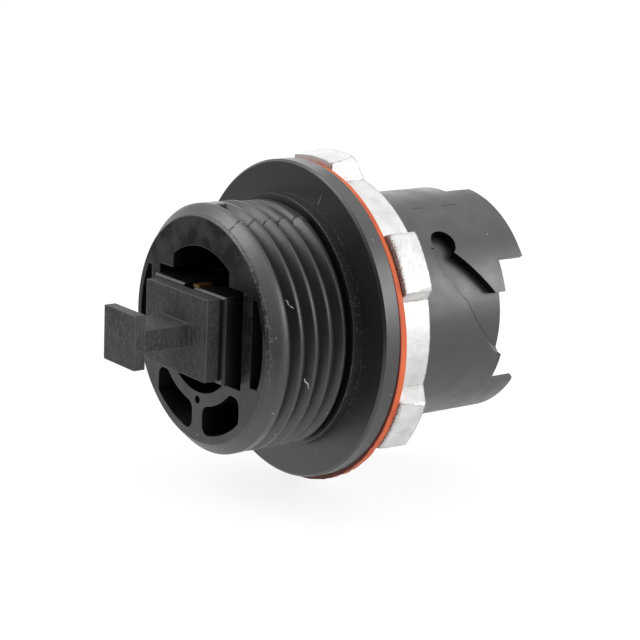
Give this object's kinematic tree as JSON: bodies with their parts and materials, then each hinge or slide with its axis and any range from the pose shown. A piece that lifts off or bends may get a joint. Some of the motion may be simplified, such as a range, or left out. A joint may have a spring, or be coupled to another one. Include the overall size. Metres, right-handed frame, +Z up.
{
  "type": "bulkhead connector",
  "caption": "Threaded round bulkhead receptacle with flange, gasket and lugged lock nut, holding a capped rectangular fibre adapter in a bayonet socket.",
  "frame": {"origin": "centre of the flange's sealing face, on the connector's axis", "axes": "+Y along the axis towards the bayonet socket, +Z up, towards the adapter's key slots"},
  "size_m": [0.0346, 0.0453, 0.036],
  "materials": {
    "housing_plastic": "moulded black glass-filled nylon, fine matt",
    "gasket_silicone": "orange-red silicone sheet, matt",
    "nut_zinc": "die-cast zinc, tumbled, satin",
    "adapter_plastic": "moulded black plastic, smooth",
    "latch_plastic": "natural grey plastic, smooth",
    "sleeve_ceramic": "white zirconia, ground",
    "clip_bronze": "rolled phosphor bronze, bright",
    "cap_plastic": "soft black moulded plastic, satin"
  },
  "bodies": {
    "receptacle": {"housing": "housing_plastic", "gasket": "gasket_silicone", "rear_shell": "adapter_plastic", "socket_shell": "adapter_plastic", "rear_latch": "latch_plastic", "socket_latch": "latch_plastic", "alignment_sleeve": "sleeve_ceramic", "adapter_clip": "clip_bronze"},
    "nut": {"lock_nut": "nut_zinc"},
    "cap": {"dust_cap": "cap_plastic"}
  },
  "joints": [
    {"name": "nut_travel", "type": "slide", "parent": "receptacle", "child": "nut", "axis": [0, 1, 0], "range_m": [0, 0.0225]},
    {"name": "cap_pull", "type": "slide", "parent": "receptacle", "child": "cap", "axis": [0, -1, 0], "range_m": [0, 0.012]}
  ]
}
